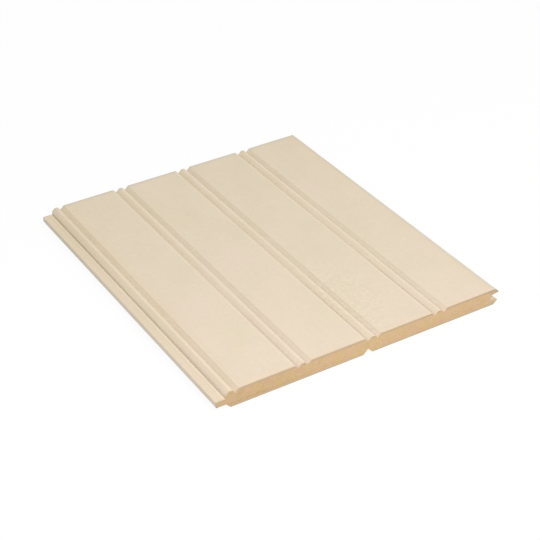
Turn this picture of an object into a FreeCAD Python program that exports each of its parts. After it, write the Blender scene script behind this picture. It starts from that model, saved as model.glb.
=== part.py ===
import FreeCAD, Part
import os
import Sketcher

# Beadboard panel: one tongue and groove plank, beads on the face, V grooves on the back.
# Body axes: X across the plank from the joint line, Y along it, Z up from the back face.
# The joint line is where the neighbour's lip ends. The shoulder stands a quirk's land behind it.

doc = FreeCAD.newDocument("BeadboardPanel")

# Driving sizes in millimetres, degrees where the name says angle
sheet = doc.addObject("Spreadsheet::Sheet", "Sizes")
drivingSizes = [
    ("board_length", 200.0),
    ("board_thickness", 9.525),
    ("bead_pitch", 41.275),
    ("bead_count", 4),
    ("bead_radius", 2.2),
    ("bead_side_angle", 50.0),
    ("bead_drop", 0.05),
    ("quirk_depth", 1.9),
    ("quirk_land", 0.4),
    ("quirk_angle", 45.0),
    ("arris_radius", 0.6),
    ("tongue_length", 5.4),
    ("tongue_thickness", 3.3),
    ("tongue_drop", 3.6),
    ("tongue_tip_radius", 0.6),
    ("joint_clearance", 0.1),
    ("groove_end_gap", 0.6),
    ("groove_entry_angle", 10.0),
    ("groove_root_radius", 0.5),
    ("back_v_depth", 2.8),
    ("back_v_angle", 45.0),
    ("beads_per_back_v", 2),
]
for row, (alias, value) in enumerate(drivingSizes, start=1):
    sheet.set(f"A{row}", alias.replace("_", " "))
    sheet.set(f"B{row}", str(value))
    sheet.setAlias(f"B{row}", alias)
doc.recompute()

# Places worked out from the driving sizes, as expressions that the sketches are bound to
FACE = "Sizes.board_thickness"
COVER = "(Sizes.bead_pitch * Sizes.bead_count)"
TONGUE_TOP = "(Sizes.board_thickness - Sizes.tongue_drop)"
TONGUE_UNDERSIDE = "(Sizes.board_thickness - Sizes.tongue_drop - Sizes.tongue_thickness)"
QUIRK_FLOOR = "(Sizes.board_thickness - Sizes.quirk_depth)"
QUIRK_RUN = "(Sizes.quirk_depth * tan(Sizes.quirk_angle))"
ROUND_CENTRE = "(Sizes.board_thickness - Sizes.bead_drop - Sizes.bead_radius)"
ROUND_HALF = "(Sizes.bead_radius * sin(Sizes.bead_side_angle))"
ROUND_FOOT = f"({ROUND_CENTRE} + Sizes.bead_radius * cos(Sizes.bead_side_angle))"
BEAD_HALF = f"({ROUND_HALF} + ({ROUND_FOOT} - {QUIRK_FLOOR}) / tan(Sizes.bead_side_angle))"
QUIRK_FOOT = f"({BEAD_HALF} + Sizes.quirk_land)"
QUIRK_LIP = f"({QUIRK_FOOT} + {QUIRK_RUN})"
BACK_V_HALF = "(Sizes.back_v_depth * tan(Sizes.back_v_angle))"
BACK_V_SPACING = "(Sizes.bead_pitch * Sizes.beads_per_back_v)"
BEVEL_ROOT = f"({BACK_V_HALF} - {TONGUE_UNDERSIDE} * tan(Sizes.back_v_angle))"
BEVEL_OUT = f"({BACK_V_HALF} + Sizes.board_thickness * tan(Sizes.back_v_angle))"
GROOVE_ROOT = f"({COVER} - Sizes.tongue_length - Sizes.groove_end_gap)"
GROOVE_FLOOR = f"({TONGUE_UNDERSIDE} - Sizes.joint_clearance)"
GROOVE_ROOF = f"({TONGUE_TOP} + Sizes.joint_clearance)"


def read(expression):
    """The number that an expression gives with the sheet's present sizes."""
    value = sheet.evalExpression(expression.replace("Sizes.", ""))
    return float(getattr(value, "Value", value))


body = doc.addObject("PartDesign::Body", "BeadboardPanel")
body.Label = "beadboard_panel"
samePlace = 0.001   # millimetres within which an edge counts as being at a place


def origin_plane(role):
    for feature in body.Origin.OriginFeatures:
        if feature.Role == role:
            return feature
    raise RuntimeError("the body has no plane " + role)


def section_sketch(name):
    """An empty sketch on the plane square to the plank's length, X across and Z up."""
    sketch = body.newObject("Sketcher::SketchObject", name)
    sketch.AttachmentSupport = [(origin_plane("XZ_Plane"), "")]
    sketch.MapMode = "FlatFace"
    return sketch


def bind(sketch, kind, geometry, point, name, expression):
    """Hold one coordinate of a point at the distance that an expression gives."""
    place = read(expression)
    rule = sketch.addConstraint(Sketcher.Constraint(kind, -1, 1, geometry, point, place))
    sketch.renameConstraint(rule, name)
    sketch.setExpression("Constraints." + name, expression)


def outline(sketch, corners, arcs=None):
    """A closed outline through named corners, each corner bound to two expressions.

    arcs gives, for the corner that an arc starts from, the height of the arc's centre.
    """
    arcs = arcs or {}
    points = [FreeCAD.Vector(read(x), read(z), 0) for name, x, z in corners]
    for index, (name, x, z) in enumerate(corners):
        start = points[index]
        end = points[(index + 1) % len(points)]
        if name in arcs:
            centre = FreeCAD.Vector((start.x + end.x) / 2, read(arcs[name]), 0)
            circle = Part.Circle(centre, FreeCAD.Vector(0, 0, 1), start.distanceToPoint(centre))
            sketch.addGeometry(Part.ArcOfCircle(circle, circle.parameter(end), circle.parameter(start)))
        else:
            sketch.addGeometry(Part.LineSegment(start, end))
    # An arc runs anticlockwise, so its first point is the outline's later corner.
    first = [2 if name in arcs else 1 for name, x, z in corners]
    last = [1 if name in arcs else 2 for name, x, z in corners]
    for index, (name, x, z) in enumerate(corners):
        following = (index + 1) % len(corners)
        joint = Sketcher.Constraint("Coincident", index, last[index], following, first[following])
        sketch.addConstraint(joint)
        bind(sketch, "DistanceX", index, first[index], name + "_across", x)
        bind(sketch, "DistanceY", index, first[index], name + "_up", z)
        if name in arcs:
            bind(sketch, "DistanceY", index, 3, name + "_centre_up", arcs[name])


def pad_along(sketch, name):
    """The section run along the whole plank, half each way from the section's plane."""
    pad = body.newObject("PartDesign::Pad", name)
    pad.Profile = sketch
    pad.SideType = "Symmetric"
    pad.setExpression("Length", "Sizes.board_length")
    doc.recompute()
    return pad


def run_cutter(sketch, name):
    """A cutter of the sketch's section run right through the plank's length."""
    before = body.Shape.Volume
    pocket = body.newObject("PartDesign::Pocket", name)
    pocket.Profile = sketch
    pocket.Type = "ThroughAll"
    pocket.SideType = "Symmetric"
    doc.recompute()
    if body.Shape.Volume >= before:
        raise RuntimeError(name + " cut nothing")
    return pocket


def repeat_cut(pocket, sketch, name, spacing, count):
    """The same cut again, at even spacing across the plank."""
    before = body.Shape.Volume
    pattern = body.newObject("PartDesign::LinearPattern", name)
    pattern.Originals = [pocket]
    pattern.Direction = (sketch, ["H_Axis"])
    pattern.Mode = "Spacing"
    pattern.setExpression("Offset", spacing)
    pattern.setExpression("Occurrences", count)
    body.Tip = pattern
    doc.recompute()
    if read(count) > 1 and body.Shape.Volume >= before:
        raise RuntimeError(name + " cut nothing")
    return pattern


def long_edges(feature, places):
    """Names of the edges that run along the plank at the given places in its section."""
    names = []
    for index, edge in enumerate(feature.Shape.Edges, start=1):
        box = edge.BoundBox
        if box.YLength < read("Sizes.board_length") / 2:
            continue
        middle = box.Center
        for across, up in places:
            if abs(middle.x - across) < samePlace and abs(middle.z - up) < samePlace:
                names.append(f"Edge{index}")
    if len(names) != len(places):
        raise RuntimeError("found " + str(len(names)) + " of " + str(len(places)) + " edges")
    return names


def round_over(name, places, radius):
    """A fillet on the long edges at the given places in the section."""
    base = body.Tip
    fillet = body.newObject("PartDesign::Fillet", name)
    fillet.Base = (base, long_edges(base, places))
    fillet.setExpression("Radius", radius)
    body.Tip = fillet
    doc.recompute()
    return fillet


# The planed plank, from the tongue's tip to the lip that covers the next tongue
plankSection = section_sketch("PlankSection")
outline(plankSection, [
    ("tip_back", "-Sizes.tongue_length", "0"),
    ("lip_back", COVER, "0"),
    ("lip_face", COVER, FACE),
    ("tip_face", "-Sizes.tongue_length", FACE),
])
pad_along(plankSection, "Plank")

# Above the tongue the cutter takes the wood back to the shoulder, where the first bead starts.
aboveTongue = section_sketch("AboveTongueSection")
outline(aboveTongue, [
    ("shoulder_root", "Sizes.quirk_land", TONGUE_TOP),
    ("shoulder_out", "Sizes.quirk_land", "2 * Sizes.board_thickness"),
    ("above_out", "-2 * Sizes.tongue_length", "2 * Sizes.board_thickness"),
    ("above_root", "-2 * Sizes.tongue_length", TONGUE_TOP),
])
run_cutter(aboveTongue, "AboveTongue")

# Below it one cutter shapes the tongue's underside and half of the back's V at the joint.
belowTongue = section_sketch("BelowTongueSection")
outline(belowTongue, [
    ("bevel_root", BEVEL_ROOT, TONGUE_UNDERSIDE),
    ("below_root", "-2 * Sizes.tongue_length", TONGUE_UNDERSIDE),
    ("below_out", "-2 * Sizes.tongue_length", "-Sizes.board_thickness"),
    ("bevel_out", BEVEL_OUT, "-Sizes.board_thickness"),
])
run_cutter(belowTongue, "BelowTongue")

# The groove takes the next plank's tongue. Its roof opens towards the mouth, to let the tongue tip in.
grooveSection = section_sketch("GrooveSection")
mouthReach = "(2 * Sizes.tongue_length + Sizes.groove_end_gap)"
outline(grooveSection, [
    ("root_floor", GROOVE_ROOT, GROOVE_FLOOR),
    ("mouth_floor", f"{GROOVE_ROOT} + {mouthReach}", GROOVE_FLOOR),
    ("mouth_roof", f"{GROOVE_ROOT} + {mouthReach}",
     f"{GROOVE_ROOF} + {mouthReach} * tan(Sizes.groove_entry_angle)"),
    ("root_roof", GROOVE_ROOT, GROOVE_ROOF),
])
run_cutter(grooveSection, "Groove")

# The lip on the face ends in the outer side of a quirk, so a joint looks like any other bead.
faceLip = section_sketch("FaceLipSection")
outline(faceLip, [
    ("bevel_top", f"{COVER} - {QUIRK_RUN}", FACE),
    ("bevel_out", f"{COVER} + {QUIRK_RUN}", f"{QUIRK_FLOOR} - Sizes.quirk_depth"),
    ("clear_top", f"{COVER} + {QUIRK_RUN}", FACE),
])
run_cutter(faceLip, "FaceLipBevel")

# The lip on the back ends in the other half of the back's V.
backLip = section_sketch("BackLipSection")
outline(backLip, [
    ("bevel_back", f"{COVER} - {BACK_V_HALF}", "0"),
    ("clear_back", f"{COVER} + {BACK_V_HALF}", "0"),
    ("bevel_out", f"{COVER} + {BACK_V_HALF}", "2 * Sizes.back_v_depth"),
])
run_cutter(backLip, "BackLipBevel")

# One cutter makes a bead with a quirk on each side, and the pattern repeats it across the face.
# A bead's sides are straight up to its round. The first one rises from the shoulder.
beadSection = section_sketch("BeadSection")
outline(beadSection, [
    ("left_out", f"{QUIRK_FOOT} - {QUIRK_LIP}", "2 * Sizes.board_thickness"),
    ("left_lip", f"{QUIRK_FOOT} - {QUIRK_LIP}", FACE),
    ("left_foot", "0", QUIRK_FLOOR),
    ("bead_left", "Sizes.quirk_land", QUIRK_FLOOR),
    ("round_left", f"{QUIRK_FOOT} - {ROUND_HALF}", ROUND_FOOT),
    ("round_right", f"{QUIRK_FOOT} + {ROUND_HALF}", ROUND_FOOT),
    ("bead_right", f"{QUIRK_FOOT} + {BEAD_HALF}", QUIRK_FLOOR),
    ("right_foot", f"2 * {QUIRK_FOOT}", QUIRK_FLOOR),
    ("right_lip", f"{QUIRK_FOOT} + {QUIRK_LIP}", FACE),
    ("right_out", f"{QUIRK_FOOT} + {QUIRK_LIP}", "2 * Sizes.board_thickness"),
], arcs={"round_left": ROUND_CENTRE})
beadCut = run_cutter(beadSection, "BeadAndQuirks")
repeat_cut(beadCut, beadSection, "BeadsAcross", "Sizes.bead_pitch", "Sizes.bead_count")

# V grooves between the two joints on the back
backV = section_sketch("BackVSection")
outline(backV, [
    ("v_left", f"{BACK_V_SPACING} - {BACK_V_HALF}", "0"),
    ("v_right", f"{BACK_V_SPACING} + {BACK_V_HALF}", "0"),
    ("v_bottom", BACK_V_SPACING, "Sizes.back_v_depth"),
])
backVCut = run_cutter(backV, "BackV")
backVCount = "max(1; ceil(Sizes.bead_count / Sizes.beads_per_back_v) - 1)"
repeat_cut(backVCut, backV, "BackVsAcross", BACK_V_SPACING, backVCount)

# Eased edges: the tongue's tip, the groove's root, and the arrises beside each quirk on the face
tongueTip = -read("Sizes.tongue_length")
round_over("TongueTip", [
    (tongueTip, read(TONGUE_TOP)),
    (tongueTip, read(TONGUE_UNDERSIDE)),
], "Sizes.tongue_tip_radius")
round_over("GrooveRoot", [
    (read(GROOVE_ROOT), read(GROOVE_FLOOR)),
    (read(GROOVE_ROOT), read(GROOVE_ROOF)),
], "Sizes.groove_root_radius")
face = read(FACE)
arrises = [(read(f"{COVER} - {QUIRK_RUN}"), face)]
for bead in range(int(read("Sizes.bead_count"))):
    beadCentre = read(QUIRK_FOOT) + bead * read("Sizes.bead_pitch")
    arrises.append((beadCentre + read(QUIRK_LIP), face))
    if bead > 0:
        arrises.append((beadCentre - read(QUIRK_LIP), face))
round_over("FaceArrises", arrises, "Sizes.arris_radius")

# The part's own origin is on the back face, under the middle of its outline.
body.setExpression("Placement.Base.x", f"(Sizes.tongue_length - {COVER}) / 2")
doc.recompute()

for item in doc.Objects:
    if "Invalid" in item.State or "Error" in item.State:
        raise RuntimeError(item.Label + " failed: " + str(item.State))
shape = body.Shape
if shape.isNull() or not shape.isValid() or len(shape.Solids) != 1:
    raise RuntimeError("the plank is not one valid solid")

os.makedirs("parts", exist_ok=True)
shape.exportStep("parts/" + body.Label + ".step")
print(body.Label, "volume", round(shape.Volume, 1), "mm3", shape.BoundBox)
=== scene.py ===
import math

import bmesh
import bpy
from mathutils import Matrix, Vector, noise


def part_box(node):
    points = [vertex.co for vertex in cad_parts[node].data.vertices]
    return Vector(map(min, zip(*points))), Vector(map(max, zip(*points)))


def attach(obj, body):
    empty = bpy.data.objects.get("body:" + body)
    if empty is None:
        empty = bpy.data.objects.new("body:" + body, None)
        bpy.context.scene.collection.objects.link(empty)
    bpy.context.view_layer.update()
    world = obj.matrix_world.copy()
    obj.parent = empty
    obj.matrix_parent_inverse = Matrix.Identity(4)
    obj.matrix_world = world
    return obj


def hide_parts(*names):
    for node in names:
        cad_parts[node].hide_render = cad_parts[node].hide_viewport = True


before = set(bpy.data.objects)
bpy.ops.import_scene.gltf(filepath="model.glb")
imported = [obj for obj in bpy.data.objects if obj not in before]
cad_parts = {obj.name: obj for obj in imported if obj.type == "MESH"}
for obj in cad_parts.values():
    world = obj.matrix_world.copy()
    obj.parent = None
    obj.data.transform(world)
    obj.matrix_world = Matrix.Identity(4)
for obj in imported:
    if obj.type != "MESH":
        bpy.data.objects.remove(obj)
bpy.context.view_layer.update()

low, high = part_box("beadboard_panel")
boardWidth = high.x - low.x
boardLength = high.y - low.y
boardThickness = high.z - low.z
millimetre = 0.001
print("plank frame loaded, metres:", round(boardWidth, 4), round(boardLength, 4), round(boardThickness, 4))


# The plank's section in millimetres: across from the joint line, up from the back face.
section = dict(
    beadPitch=41.275,
    beads=4,
    beadRadius=2.2,
    beadSide=50.0,      # degrees that the straight sides of a bead slope at
    beadDrop=0.05,      # crest below the flats
    quirkDepth=1.9,
    quirkLand=0.4,
    arris=0.6,          # rounding of the flats' edges
    tongueTop=5.925,
    tongueUnderside=2.625,
    tipRounding=0.6,    # of the tongue's tip
    jointPlay=0.1,
    tipGap=0.6,
    roofAngle=10.0,     # degrees that the groove opens by
    rootRounding=0.5,   # of the groove's root
    backDepth=2.8,
    softCorner=0.12,    # the primer film fills and rounds every other corner this much
    arcStep=8.0,        # degrees of arc between two points
    softStep=24.0,      # the same in a soft corner
    leastSteps=2,
    leastTurn=0.05,     # radians, a corner that turns less stays sharp
    leastGap=0.01,      # between two points of the outline
)

# its places across and along, and its levels above the back face
cover = section["beadPitch"] * section["beads"]   # from one joint line to the next
tongueLength = boardWidth / millimetre - cover
grooveRoot = cover - tongueLength - section["tipGap"]
jointLine = low.x / millimetre + tongueLength     # in the frame, the others count from here
cut = boardLength / millimetre / 2                # the two cut ends are this far from the middle
face = boardThickness / millimetre
foot = face - section["quirkDepth"]               # of every quirk
ledge = section["tongueTop"]
grooveFloor = section["tongueUnderside"] - section["jointPlay"]
grooveRoof = ledge + section["jointPlay"]
mouthRoof = grooveRoof + (cover - grooveRoot) * math.tan(math.radians(section["roofAngle"]))


# a corner of the outline, rounded with the given radius where its two sides have room for it
def roundedCorner(before, corner, after, radius):
    inward = (before - corner).normalized()
    outward = (after - corner).normalized()
    turn = math.pi - inward.angle(outward)
    if radius <= 0 or turn < section["leastTurn"]:
        return [corner]
    reach = radius * math.tan(turn / 2)
    room = min((before - corner).length, (after - corner).length) / 2
    if reach > room:
        radius *= room / reach
        reach = room
    middle = corner + (inward + outward).normalized() * (radius / math.cos(turn / 2))
    start = corner + inward * reach - middle
    side = 1 if start.cross(corner + outward * reach - middle) > 0 else -1
    step = section["arcStep"] if radius > section["softCorner"] else section["softStep"]
    steps = max(section["leastSteps"], round(math.degrees(turn) / step))
    return [middle + Matrix.Rotation(side * turn * index / steps, 2) @ start for index in range(steps + 1)]


# the beads and flats from the shoulder above the tongue to the covering lip
def faceCorners():
    soft = section["softCorner"]
    land = section["quirkLand"]
    slope = math.radians(section["beadSide"])
    radius = section["beadRadius"]
    middle = face - section["beadDrop"] - radius
    half = radius * math.sin(slope) + (middle + radius * math.cos(slope) - foot) / math.tan(slope)
    steps = round(2 * section["beadSide"] / section["arcStep"])
    corners = []
    for bead in range(section["beads"]):
        start = bead * section["beadPitch"]
        centre = start + land + half
        if bead > 0:
            corners.append((start - section["quirkDepth"], face, section["arris"]))
            corners.append((start, foot, soft))
        corners.append((start + land, foot, soft))
        for step in range(steps + 1):
            angle = slope * (2 * step / steps - 1)
            corners.append((centre + radius * math.sin(angle), middle + radius * math.cos(angle), 0))
        corners.append((centre + half, foot, soft))
        corners.append((centre + half + land, foot, soft))
        corners.append((centre + half + land + section["quirkDepth"], face, section["arris"]))
    return corners


# the whole outline, anticlockwise from the tongue's root under the plank
def sectionCorners():
    soft = section["softCorner"]
    under = section["tongueUnderside"]
    backDepth = section["backDepth"]
    lip = [
        (cover - section["quirkDepth"], face, section["arris"]),
        (cover, foot, soft),
        (cover, mouthRoof, soft),
        (grooveRoot, grooveRoof, section["rootRounding"]),
        (grooveRoot, grooveFloor, section["rootRounding"]),
        (cover - backDepth + grooveFloor, grooveFloor, soft),
        (cover - backDepth, 0, soft),
        (cover / 2 + backDepth, 0, soft),
        (cover / 2, backDepth, soft),
        (cover / 2 - backDepth, 0, soft),
        (backDepth, 0, soft),
        (backDepth - under, under, soft),
    ]
    tongue = [
        (-tongueLength, under, section["tipRounding"]),
        (-tongueLength, ledge, section["tipRounding"]),
        (section["quirkLand"], ledge, soft),
    ]
    return list(reversed(tongue + faceCorners() + lip))


def sectionOutline():
    corners = [(Vector((x, z)), radius) for x, z, radius in sectionCorners()]
    outline = []
    for index, (corner, radius) in enumerate(corners):
        before = corners[index - 1][0]
        after = corners[(index + 1) % len(corners)][0]
        outline.extend(roundedCorner(before, corner, after, radius))
    kept = []
    for point in outline:
        if not kept or (point - kept[-1]).length > section["leastGap"]:
            kept.append(point)
    return [point + Vector((jointLine, 0)) for point in kept]


plank = dict(
    rows=56,           # rings along the plank between its cut ends
    sawEase=0.06,      # millimetres that the saw breaks the arris round a cut end
    sawNick=0.08,      # more of it where the board chips
    nickSize=0.42,
    ripple=0.018,      # unevenness of the milled and primed surface
    rippleSize=0.07,
    sharpAngle=32.0,   # degrees
)


# for each point of the outline, the direction into the board
def inwardOf(outline):
    inward = []
    for index, point in enumerate(outline):
        along = outline[(index + 1) % len(outline)] - outline[index - 1]
        inward.append(Vector((-along.y, along.x)).normalized())
    return inward


# one ring round the plank: the saw eases and chips the ones at the cuts, the others only ripple
def ringSpots(outline, inward, y):
    spots = []
    for point, direction in zip(outline, inward):
        spot = Vector((point.x, y, point.y))
        if abs(y) == cut:
            sink = plank["sawEase"] + plank["sawNick"] * max(0.0, noise.noise(spot * plank["nickSize"]))
        else:
            sink = plank["ripple"] * (0.5 + 0.5 * noise.noise(spot * plank["rippleSize"]))
        moved = point + direction * sink
        spots.append((moved.x, y, moved.y))
    return spots


primed = 0   # the plank's material slots
sawn = 1


def makePlank():
    outline = sectionOutline()
    inward = inwardOf(outline)
    mesh = bmesh.new()
    inner = cut - plank["sawEase"]
    places = [-cut] + [inner * (2 * row / plank["rows"] - 1) for row in range(plank["rows"] + 1)] + [cut]
    rings = [[mesh.verts.new(spot) for spot in ringSpots(outline, inward, y)] for y in places]
    for row, (first, second) in enumerate(zip(rings, rings[1:])):
        for index in range(len(outline)):
            following = (index + 1) % len(outline)
            side = mesh.faces.new((first[index], first[following], second[following], second[index]))
            side.smooth = True
            side.material_index = sawn if row in (0, len(rings) - 2) else primed
    ends = [mesh.faces.new(ring) for ring in (rings[0], rings[-1])]
    for cutEnd in ends:
        cutEnd.material_index = sawn
    mesh.normal_update()
    bmesh.ops.triangulate(mesh, faces=ends, ngon_method="EAR_CLIP")
    bmesh.ops.recalc_face_normals(mesh, faces=mesh.faces)
    bmesh.ops.scale(mesh, vec=(millimetre, millimetre, millimetre), verts=mesh.verts)
    shape = bpy.data.meshes.new("beadboardPlank")
    mesh.to_mesh(shape)
    mesh.free()
    shape.set_sharp_from_angle(angle=math.radians(plank["sharpAngle"]))
    piece = bpy.data.objects.new("beadboardPlank", shape)
    bpy.context.collection.objects.link(piece)
    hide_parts("beadboard_panel")
    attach(piece, "root")
    print("plank milled:", len(outline), "points round the section,", len(shape.polygons), "faces")
    return piece


# one output socket of a shader node, with operators that add Math nodes behind it
class Wire:
    def __init__(self, tree, socket=None):
        self.tree = tree
        self.socket = socket

    def node(self, kind, settings, inputs, output=0):
        made = self.tree.nodes.new(kind)
        for name, value in settings.items():
            if name == "stops":
                self.fillRamp(made.color_ramp, value)
            else:
                setattr(made, name, value)
        for name, value in inputs.items():
            target = made.inputs[name]
            if isinstance(value, Wire):
                self.tree.links.new(value.socket, target)
            else:
                target.default_value = value
        if not made.outputs:
            return None
        return Wire(self.tree, made.outputs[output])

    def fillRamp(self, ramp, stops):
        while len(ramp.elements) < len(stops):
            ramp.elements.new(1.0)
        for element, (place, shade) in zip(ramp.elements, stops):
            element.position = place
            element.color = (shade, shade, shade, 1.0)

    def math(self, operation, first, second=0.0):
        return self.node("ShaderNodeMath", {"operation": operation}, {0: first, 1: second})

    def __add__(self, other):
        return self.math("ADD", self, other)

    def __radd__(self, other):
        return self.math("ADD", other, self)

    def __sub__(self, other):
        return self.math("SUBTRACT", self, other)

    def __rsub__(self, other):
        return self.math("SUBTRACT", other, self)

    def __mul__(self, other):
        return self.math("MULTIPLY", self, other)

    def __rmul__(self, other):
        return self.math("MULTIPLY", other, self)

    def __truediv__(self, other):
        return self.math("DIVIDE", self, other)

    def __rtruediv__(self, other):
        return self.math("DIVIDE", other, self)

    def __abs__(self):
        return self.math("ABSOLUTE", self)


def newMaterial(name):
    material = bpy.data.materials.new(name)
    material.use_nodes = True
    material.node_tree.nodes.clear()
    return material, Wire(material.node_tree)


def finishMaterial(tree, shader):
    tree.node("ShaderNodeOutputMaterial", {}, {"Surface": shader})


# 0 at start and 1 at end, soft between, and either may be the higher
def smooth(value, start, end):
    settings = {"interpolation_type": "SMOOTHSTEP"}
    return value.node("ShaderNodeMapRange", settings, {"Value": value, "From Min": start, "From Max": end})


# a Mix node has several sockets of one name, so those that mix colours go by number
mixShare = 0
mixFirst = 6
mixSecond = 7
mixResult = 2


def mixColour(share, first, second):
    inputs = {mixShare: share, mixFirst: first, mixSecond: second}
    return share.node("ShaderNodeMix", {"data_type": "RGBA"}, inputs, output=mixResult)


def dyed(colour, dye, share=1.0):   # one colour seen through another
    settings = {"data_type": "RGBA", "blend_type": "MULTIPLY"}
    inputs = {mixShare: share, mixFirst: colour, mixSecond: dye}
    return colour.node("ShaderNodeMix", settings, inputs, output=mixResult)


def stretched(place, scales):   # object coordinates stretched by three scales, for streaks
    settings = {"operation": "MULTIPLY"}
    return place.node("ShaderNodeVectorMath", settings, {0: place, 1: scales})


def speckle(place, scale, detail, roughness=0.5):
    inputs = {"Vector": place, "Scale": scale, "Detail": detail, "Roughness": roughness}
    return place.node("ShaderNodeTexNoise", {}, inputs)


# a point's place on the plank in millimetres: across from the joint line, along, up from the back
def plankSpot(place):
    metres = [place.node("ShaderNodeSeparateXYZ", {}, {"Vector": place}, output=axis) for axis in "XYZ"]
    across, along, up = [value * (1 / millimetre) for value in metres]
    return dict(across=across - jointLine, along=along, up=up)


# a stretch of the plank: from its first number to its second it sets in, and where it has
# two more, it fades between those
def within(value, stretch):
    share = smooth(value, stretch[0], stretch[1])
    if len(stretch) == 4:
        share = share * smooth(value, stretch[3], stretch[2])
    return share


# millimetres along, where the near end's wear turns into the far end's
wearTurns = (-10.0, 80.0)


# A part of the plank's surface is where its stretches across, along and up meet. It shows
# with its share, which may be two numbers, for the near end and the far end.
def shareOf(spot, part):
    share = part.get("share", 1.0)
    if isinstance(share, tuple):
        near, far = share
        share = within(spot["along"], wearTurns) * (far - near) + near
    for axis, value in spot.items():
        if axis in part:
            share = share * within(value, part[axis])
    return share


def sharesOf(spot, parts):
    return sum(shareOf(spot, part) for part in parts)


creamPrimer = dict(
    paintedShade=(0.551, 0.474, 0.371, 1.0),    # the painted shade's darkest colour, at the foot of a quirk
    paintedLight=(0.834, 0.711, 0.546, 1.0),    # the painted light's colour, a painted highlight on crests and arrises
    cloudy=(0.962, 0.958, 0.948, 1.0),
    rosy=(1.0, 0.984, 0.994, 1.0),
    mellow=(0.987, 0.987, 0.964, 1.0),
    bruised=(0.560, 0.440, 0.300, 1.0),   # along the cuts themselves
    thinPrimerLit=(0.860, 0.710, 0.510, 1.0),      # inside the groove, where little of it went, and paler as painted light against the groove's shade
    worn=(0.660, 0.535, 0.380, 1.0),      # the groove's first millimetres from a cut end
    roughness=0.52,
    roughnessSpread=0.10,
    cloudNoise=(55.0, 4.0),               # scale and detail, as in the four below
    streakNoise=(1.0, 2.0),
    stippleNoise=(900.0, 3.0),
    tintNoise=(48.0, 1.0),
    grainNoise=(560.0, 2.0),
    streakScales=(700.0, 14.0, 700.0),
    cloudShare=0.4,
    streakShare=0.15,
    stippleShare=0.3,
    mottleRange=(0.35, 0.65),
    stippleDepth=0.00006,                 # metres
    tintDrift=0.0009,                     # in a millimetre along, from rosy to mellow
    tintRange=(0.35, 0.65),
    grain=5.2,
    grainLeast=0.25,                      # its share outside the rougher patch
    patchAcross=94.0,                     # the rougher patch's middle, and how far it reaches
    patchAlong=-62.0,
    patchWidth=20.0,
    patchLength=44.0,
    patchFade=(1.2, 0.5),
    grainFilm=0.035,                      # how much thicker or thinner the grain makes the film
    bruiseReach=0.6,                      # millimetres from a cut
    bruiseShare=0.6,
    bruiseGrain=0.2,
)

plainFilm = 0.753   # the flats' level between painted shade and painted light, from 0 to 1

# the same level across one bead's pitch, by millimetres from the quirk's edge: painted shade in the
# quirks, painted highlights on crests and edges
shadeAndHighlightLines = [
    (0.0, 0.60), (0.18, 0.34), (0.42, 0.22),               # painted shade at the quirk's foot
    (0.60, 0.72), (0.85, 0.95), (1.3, 0.94),               # painted highlight low on the bead's side
    (1.9, 0.74), (2.6, 0.76), (3.2, 0.95), (3.8, 0.96),    # and a painted highlight just past its crest
    (4.6, 0.83), (5.4, 0.74), (5.6, 0.56), (5.95, 0.48),   # painted shade down to the next foot
    (6.2, 0.72), (6.7, 0.81), (7.25, 0.71),                # painted light and shade up the slope to the flat
    (8.3, plainFilm), (37.9, plainFilm),
    (38.8, 0.93), (39.6, 0.88), (40.4, 0.77),              # painted highlight at the flat's other edge
    (section["beadPitch"], 0.60),
]

# stretches that several parts share
onTongue = (ledge - 0.5, ledge - 0.3, ledge, ledge + 0.2)        # up
onWall = (foot - 1.2, foot - 0.6, foot - 0.1, foot + 0.1)        # up, from the tongue to the first bead
onFace = (face - 0.8, face - 0.4)                                # up
inQuirks = (ledge - 0.5, ledge - 0.3, foot + 0.3, face - 0.3)    # up
atCorner = (ledge - 0.2, ledge, foot - 1.3, foot - 0.6)          # up, where the tongue meets that wall
inGroove = (grooveFloor - 0.15, grooveFloor - 0.05, mouthRoof - 0.08, mouthRoof + 0.12)   # up
tongueTip = (0.3 - tongueLength, -tongueLength)                  # across

# where the film lies otherwise than its lines say
primerParts = dict(
    lined=[dict(up=(foot - 0.2, foot - 0.05))],   # where the lines hold
    shadeLimit=[                                       # how light the painted shade lines stay at least
        dict(share=0.2),
        dict(share=0.54, along=(-68.0, -22.0)),   # the painted shade in the quirks stays deep only at the near end
        dict(share=0.5, across=(0.9, 0.5)),       # and not the one over the tongue
    ],
    # painted light on the tongue's ledge and on the wall above it
    paintedLight=[
        dict(share=0.36, across=(-1.3, -0.5, 0.5, 0.9), up=onTongue),
        dict(share=0.25, across=(0.1, 0.3, 0.5, 0.9), up=onWall),
    ],
    # painted shade where the tongue meets that wall, and on the tongue's tip towards the far end
    paintedShade=[
        dict(share=(0.36, 0.56), across=(-0.4, -0.05, 0.5, 0.9), up=atCorner),
        dict(share=(0.0, 0.12), across=tongueTip),
    ],
    widerBruise=[dict(share=0.35, across=(90.0, 74.0))],   # towards the tongue
    groove=[dict(across=(grooveRoot - 0.4, grooveRoot), up=inGroove)],
    grooveEnds=[
        dict(along=(3.0 - cut, 0.3 - cut)),
        dict(along=(cut - 3.0, cut - 0.3)),
    ],
)
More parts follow.
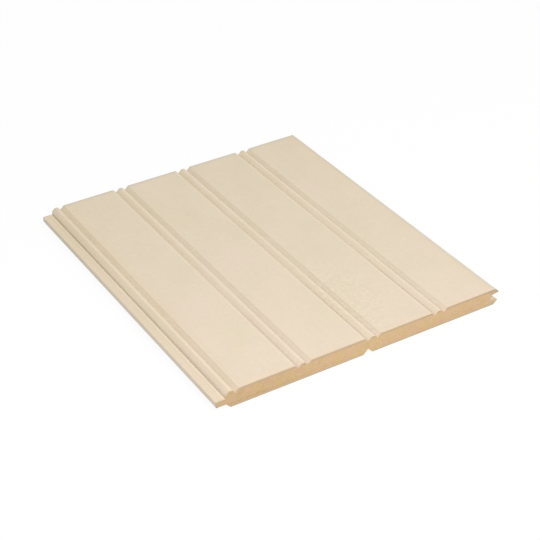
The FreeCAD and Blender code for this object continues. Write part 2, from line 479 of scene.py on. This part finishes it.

# what tints the film, and where; some of it is painted shade or painted highlight
primerTints = dict(
    yellowed=dict(colour=(0.998, 0.991, 0.964, 1.0), parts=[   # beside the tongue and the covering lip
        dict(across=(14.0, 9.0)),
        dict(across=(cover - 9.0, cover - 6.0, cover - 4.6, cover - 3.2)),
    ]),
    nearCutHighlight=dict(colour=(1.035, 1.0, 0.965, 1.0), parts=[       # a warm painted highlight by the near cut
        dict(along=(4.0 - cut, 1.5 - cut)),
    ]),
    darkerEdges=dict(colour=(0.870, 0.925, 0.975, 1.0), parts=[     # greyer and darker at the far cut, the lip's edge and the tongue's tip
        dict(share=0.6, along=(cut - 3.5, cut - 1.6), up=onFace),
        dict(across=(cover - 4.4, cover - 2.7, cover - 2.0, cover - 1.4), up=onFace),
        dict(share=(0.45, 0.80), across=tongueTip),
    ]),
    aged=dict(colour=(0.997, 0.994, 0.976, 1.0), parts=[       # towards the far end
        dict(share=(0.0, 1.0)),
    ]),
    shadedBeadSide=dict(colour=(0.955, 0.942, 0.938, 1.0), parts=[     # painted shade on the first bead's side over the tongue
        dict(share=(0.45, 1.0), across=(0.2, 0.5, 2.0, 3.2), up=(foot - 0.2, foot + 0.2)),
    ]),
    highlightLine=dict(colour=(1.070, 1.075, 1.085, 1.0), parts=[   # a painted highlight line on the tongue, by its shoulder
        dict(across=(-1.1, -0.65, -0.4, -0.15), up=onTongue),
    ]),
    coolerQuirks=dict(colour=(0.982, 1.0, 1.035, 1.0), parts=[        # cooler down in the quirks, at the near end
        dict(share=(1.0, 0.0), across=(-1.8, -1.0), up=inQuirks),
    ]),
    shadedQuirks=dict(colour=(0.962, 0.978, 0.990, 1.0), parts=[    # painted shade down in the quirks, at the far end
        dict(share=(0.0, 1.0), across=(-1.8, -1.0), up=inQuirks),
    ]),
)


# painted shade and painted light over the primer, from 0 (shade) to 1 (light)
def paintedShadeAndLight(spot):
    stops = [(distance / section["beadPitch"], light) for distance, light in shadeAndHighlightLines]
    pitches = spot["across"] / section["beadPitch"]
    lines = pitches.node("ShaderNodeValToRGB", {"stops": stops}, {0: pitches.math("FRACT", pitches)})
    lines = lines.math("MAXIMUM", lines, sharesOf(spot, primerParts["shadeLimit"]))
    film = (lines - plainFilm) * sharesOf(spot, primerParts["lined"]) + plainFilm
    return film + sharesOf(spot, primerParts["paintedLight"]) - sharesOf(spot, primerParts["paintedShade"])


def makeCreamPrimer():
    about = creamPrimer
    material, tree = newMaterial("creamPrimer")
    place = tree.node("ShaderNodeTexCoord", {}, {}, output="Object")
    spot = plankSpot(place)
    clouds = speckle(place, *about["cloudNoise"])
    streaks = speckle(stretched(place, about["streakScales"]), *about["streakNoise"])
    stipple = speckle(place, *about["stippleNoise"])
    mottle = (clouds - 0.5) * about["cloudShare"] + (streaks - 0.5) * about["streakShare"]
    mottle = mottle + (stipple - 0.5) * about["stippleShare"] + 0.5
    tint = speckle(place, *about["tintNoise"]) + spot["along"] * about["tintDrift"]
    tint = smooth(tint, *about["tintRange"])
    fromPatch = abs(spot["across"] - about["patchAcross"]) / about["patchWidth"]
    fromPatch = fromPatch + abs(spot["along"] - about["patchAlong"]) / about["patchLength"]
    grain = (smooth(fromPatch, *about["patchFade"]) + about["grainLeast"]) * about["grain"]
    grain = (speckle(place, *about["grainNoise"]) - 0.5) * grain
    # the film's colour runs from the painted shade to the painted light
    film = mixColour(paintedShadeAndLight(spot) - grain * about["grainFilm"], about["paintedShade"], about["paintedLight"])
    film = dyed(film, about["cloudy"], smooth(mottle, *about["mottleRange"]) + grain)
    film = dyed(film, mixColour(tint, about["rosy"], about["mellow"]))
    for dye in primerTints.values():
        film = dyed(film, dye["colour"], sharesOf(spot, dye["parts"]))
    bruise = abs(spot["along"]) + grain * about["bruiseGrain"] + sharesOf(spot, primerParts["widerBruise"])
    bruise = smooth(bruise, cut - about["bruiseReach"], cut) * about["bruiseShare"]
    film = mixColour(bruise, film, about["bruised"])
    # inside the groove the primer is thin and tan, and paler as painted light against the groove's shade
    groove = mixColour(sharesOf(spot, primerParts["grooveEnds"]), about["thinPrimerLit"], about["worn"])
    colour = mixColour(sharesOf(spot, primerParts["groove"]), film, groove)
    shader = tree.node("ShaderNodeBsdfPrincipled", {}, {
        "Base Color": colour,
        "Roughness": about["roughness"] + (clouds - 0.5) * about["roughnessSpread"],
        "Normal": tree.node("ShaderNodeBump", {}, {"Height": stipple, "Distance": about["stippleDepth"]}),
    })
    finishMaterial(tree, shader)
    return material


sawnFibreboard = dict(
    colour=(0.658, 0.460, 0.256, 1.0),
    fleck=(0.480, 0.322, 0.164, 1.0),
    skin=(0.462, 0.360, 0.232, 1.0),   # the dense beaded face of the board
    dust=(0.500, 0.424, 0.312, 1.0),   # the same at the back, grey with primer dust
    nose=(0.270, 0.240, 0.200, 1.0),   # the bruised tips of the groove's lips and of the tongue
    rosy=(1.005, 0.972, 1.04, 1.0),
    mellow=(0.980, 1.0, 0.92, 1.0),
    roughness=0.88,
    fibreNoise=(1.0, 4.0, 0.65),       # scale, detail and roughness
    clumpNoise=(260.0, 3.0),           # scale and detail
    tintNoise=(170.0, 1.0),
    fibreScales=(700.0, 700.0, 2400.0),
    fibreDepth=0.00010,                # metres
    fibreRange=(0.42, 0.66),
    fibreShare=0.55,
    clumpRange=(0.4, 0.7),
    clumpShare=0.2,
    tintRange=(0.36, 0.64),
    paleness=0.04,
    skinDepth=2.1,                     # millimetres
    dustFades=(2.0, 6.0),              # up
)

lipTips = (cover - 1.1, cover - 0.4)   # across

# where a cut end is dark with painted shade, dense like the skin of the board, or bruised
sawnParts = dict(
    dark=[dict(share=0.31, across=(90.0, 5.0))],   # painted shade, darker towards the tongue
    dense=[
        dict(share=0.74, up=(sawnFibreboard["skinDepth"], 0.0)),
        dict(share=0.74, up=(face - sawnFibreboard["skinDepth"], face)),
        dict(share=0.42, across=(cover - tongueLength - 2.0, cover - tongueLength + 0.5)),
        dict(share=0.42, across=(1.0, -1.0)),
    ],
    bruised=[
        dict(share=0.5, across=lipTips),
        dict(share=0.5, across=lipTips, up=(4.0, 5.0)),
        dict(share=0.7, across=(-4.1, -5.1), up=(4.2, 3.0)),
    ],
)


def makeSawnFibreboard():
    about = sawnFibreboard
    material, tree = newMaterial("sawnFibreboard")
    place = tree.node("ShaderNodeTexCoord", {}, {}, output="Object")
    spot = plankSpot(place)
    fibres = speckle(stretched(place, about["fibreScales"]), *about["fibreNoise"])
    clumps = speckle(place, *about["clumpNoise"])
    tint = smooth(speckle(place, *about["tintNoise"]), *about["tintRange"])
    dark = smooth(fibres, *about["fibreRange"]) * about["fibreShare"]
    dark = dark + smooth(clumps, *about["clumpRange"]) * about["clumpShare"]
    # painted shade darkens the cut end towards the tongue
    dark = dark + sharesOf(spot, sawnParts["dark"]) - about["paleness"]
    board = mixColour(dark, about["colour"], about["fleck"])
    board = dyed(board, mixColour(tint, about["rosy"], about["mellow"]))
    skin = mixColour(smooth(spot["up"], *about["dustFades"]), about["dust"], about["skin"])
    board = mixColour(smooth(sharesOf(spot, sawnParts["dense"]), 0.0, 1.0), board, skin)
    board = mixColour(sharesOf(spot, sawnParts["bruised"]), board, about["nose"])
    shader = tree.node("ShaderNodeBsdfPrincipled", {}, {
        "Base Color": board,
        "Roughness": about["roughness"],
        "Normal": tree.node("ShaderNodeBump", {}, {"Height": fibres, "Distance": about["fibreDepth"]}),
    })
    finishMaterial(tree, shader)
    return material


beadboard = makePlank()
beadboard.data.materials.append(makeCreamPrimer())
beadboard.data.materials.append(makeSawnFibreboard())
print("plank primed, its ends left bare")


white = (1.0, 1.0, 1.0, 1.0)
floor = dict(size=6.0, colour=(0.80, 0.80, 0.80, 1.0), shadowShare=0.08)


# 1 where the camera sees a surface itself or in a gloss or through glass, 0 for the light it sheds
def seenPlainly(tree):
    rays = [tree.node("ShaderNodeLightPath", {}, {}, output=kind + " Ray")
            for kind in ("Is Camera", "Is Glossy", "Is Transmission")]
    both = rays[0].math("MAXIMUM", rays[0], rays[1])
    return both.math("MAXIMUM", both, rays[2])


def makeFloor():
    half = floor["size"] / 2
    mesh = bpy.data.meshes.new("floor")
    corners = [(-half, -half, 0), (half, -half, 0), (half, half, 0), (-half, half, 0)]
    mesh.from_pydata(corners, [], [(0, 1, 2, 3)])
    ground = bpy.data.objects.new("floor", mesh)
    bpy.context.collection.objects.link(ground)
    material, tree = newMaterial("paleFloor")
    seen = seenPlainly(tree)
    paper = tree.node("ShaderNodeBsdfDiffuse", {}, {"Color": mixColour(seen, floor["colour"], white)})
    glow = tree.node("ShaderNodeEmission", {}, {"Color": white, "Strength": 1.0})
    unshadowed = seen * (1 - floor["shadowShare"])
    finishMaterial(tree, tree.node("ShaderNodeMixShader", {}, {0: unshadowed, 1: paper, 2: glow}))
    mesh.materials.append(material)


makeFloor()
print("floor laid")


sky = dict(strength=0.74)
lamps = dict(
    keyLamp=dict(place=(0.10, -0.52, 0.62), size=0.40, watts=1.97),
    sideLamp=dict(place=(-0.15, -0.35, 0.25), size=0.20, watts=0.29),
)


def makeLights():
    world = bpy.data.worlds.new("studio")
    world.use_nodes = True
    world.node_tree.nodes.clear()
    tree = Wire(world.node_tree)
    strength = seenPlainly(tree) * (1 - sky["strength"]) + sky["strength"]
    background = tree.node("ShaderNodeBackground", {}, {"Color": white, "Strength": strength})
    tree.node("ShaderNodeOutputWorld", {}, {"Surface": background})
    bpy.context.scene.world = world
    for name, about in lamps.items():
        lamp = bpy.data.lights.new(name, "AREA")
        lamp.shape = "SQUARE"
        lamp.size = about["size"]
        lamp.energy = about["watts"]
        holder = bpy.data.objects.new(name, lamp)
        holder.location = about["place"]
        holder.rotation_mode = "QUATERNION"
        holder.rotation_quaternion = (-Vector(about["place"])).to_track_quat("-Z", "Y")
        bpy.context.collection.objects.link(holder)


makeLights()
print("lights set")


# the photograph's view: it aims at a point on the beaded face
view = dict(
    aim=(-0.006891, -0.021130),
    distance=0.792311,
    azimuth=-30.7838,
    elevation=33.7406,
    roll=-1.0157,
    lens=98.756,
    sensor=36.0,
    nearest=0.01,
)


def makeCamera():
    turn = math.radians(view["azimuth"])
    rise = math.radians(view["elevation"])
    back = Vector((math.sin(turn) * math.cos(rise), -math.cos(turn) * math.cos(rise), math.sin(rise)))
    aim = Vector((view["aim"][0], view["aim"][1], boardThickness))
    camera = bpy.data.cameras.new("camera")
    camera.sensor_fit = "HORIZONTAL"
    camera.sensor_width = view["sensor"]
    camera.lens = view["lens"]
    camera.clip_start = view["nearest"]
    holder = bpy.data.objects.new("camera", camera)
    facing = (-back).to_track_quat("-Z", "Y").to_matrix().to_4x4()
    tilt = Matrix.Rotation(math.radians(view["roll"]), 4, "Z")
    holder.matrix_world = Matrix.Translation(aim + back * view["distance"]) @ facing @ tilt
    bpy.context.collection.objects.link(holder)
    bpy.context.scene.camera = holder


makeCamera()
bpy.context.scene.view_settings.view_transform = "Standard"
print("camera placed")
